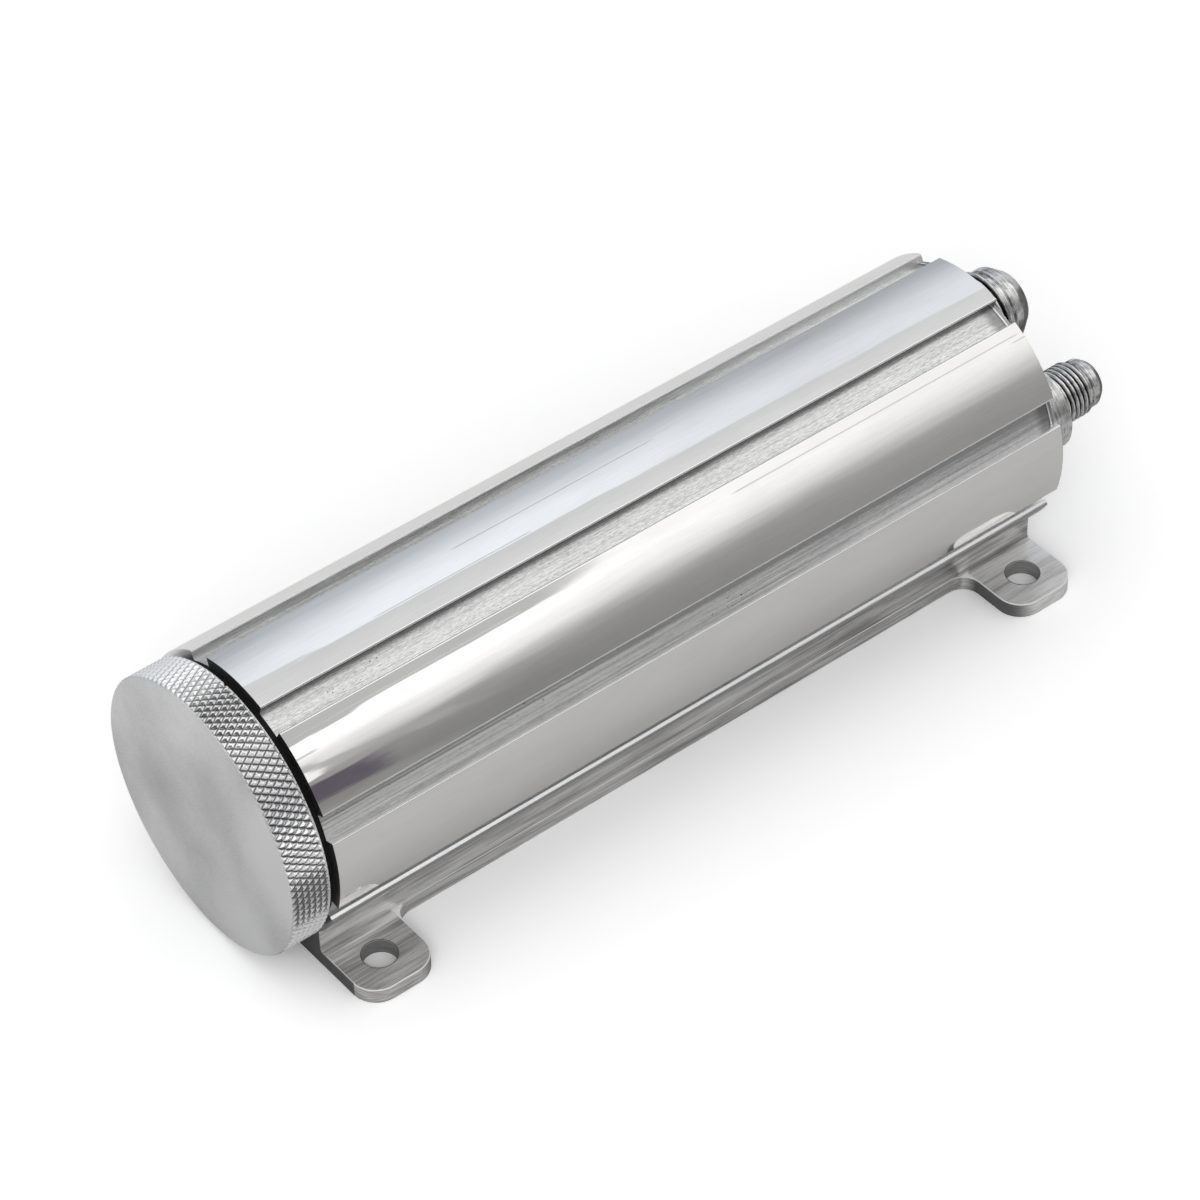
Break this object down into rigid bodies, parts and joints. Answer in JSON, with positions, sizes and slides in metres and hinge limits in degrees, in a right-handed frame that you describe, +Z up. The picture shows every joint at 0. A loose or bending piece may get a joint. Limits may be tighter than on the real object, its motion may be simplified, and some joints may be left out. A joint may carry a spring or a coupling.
{
  "type": "power steering reservoir",
  "caption": "Extruded aluminium fluid reservoir on four mounting feet, with a knurled screw cap at one end and two male hose fittings at the other.",
  "frame": {"origin": "centre of the four foot holes, on the mounting plane under the feet", "axes": "+X along the tube from the cap to the hose fittings, +Z up from the mounting plane, -Y the side with the return fitting"},
  "size_m": [0.2578, 0.087, 0.0714],
  "materials": {
    "body_aluminium": "polished lands, brushed grooves and feet",
    "cap_aluminium": "fine matte face and bright diamond knurl",
    "turned_aluminium": "fine turned finish",
    "fitting_aluminium": "machined, slightly darker",
    "weld_metal": "rippled weld bead",
    "black_rubber": "matte black",
    "stainless_steel": "brushed",
    "sintered_bronze": "grainy and porous",
    "magnet_metal": "bright nickel plate"
  },
  "bodies": {
    "tube": {"body": "body_aluminium", "rear_plug": "turned_aluminium", "plug_o_ring": "black_rubber", "plug_stitch_welds": "weld_metal", "return_fitting": "fitting_aluminium", "suction_fitting": "fitting_aluminium", "fitting_welds": "weld_metal", "return_diffuser": "turned_aluminium", "strainer_cage": "stainless_steel", "strainer_mesh": "stainless_steel", "baffle": "stainless_steel", "baffle_standoffs": "turned_aluminium", "baffle_screws": "stainless_steel", "magnet": "magnet_metal"},
    "gasket": {"cap_gasket": "black_rubber"},
    "cap": {"filler_cap": "cap_aluminium", "vent_filter": "sintered_bronze", "splash_plate": "stainless_steel", "splash_plate_screws": "stainless_steel", "dipstick": "stainless_steel", "dipstick_pin": "stainless_steel"}
  },
  "joints": [
    {"name": "cap_travel", "type": "slide", "parent": "tube", "child": "gasket", "axis": [-1, 0, 0], "range_m": [0, 0.00901]},
    {"name": "cap_turn", "type": "hinge", "parent": "gasket", "child": "cap", "pos_m": [-0.109, 0, 0.0359], "axis": [-1, 0, 0], "range_deg": [0, 1620]}
  ],
  "couplings": [
    {"joint": "cap_travel", "follows": "cap_turn", "m_per_rad": 0.00031831}
  ]
}
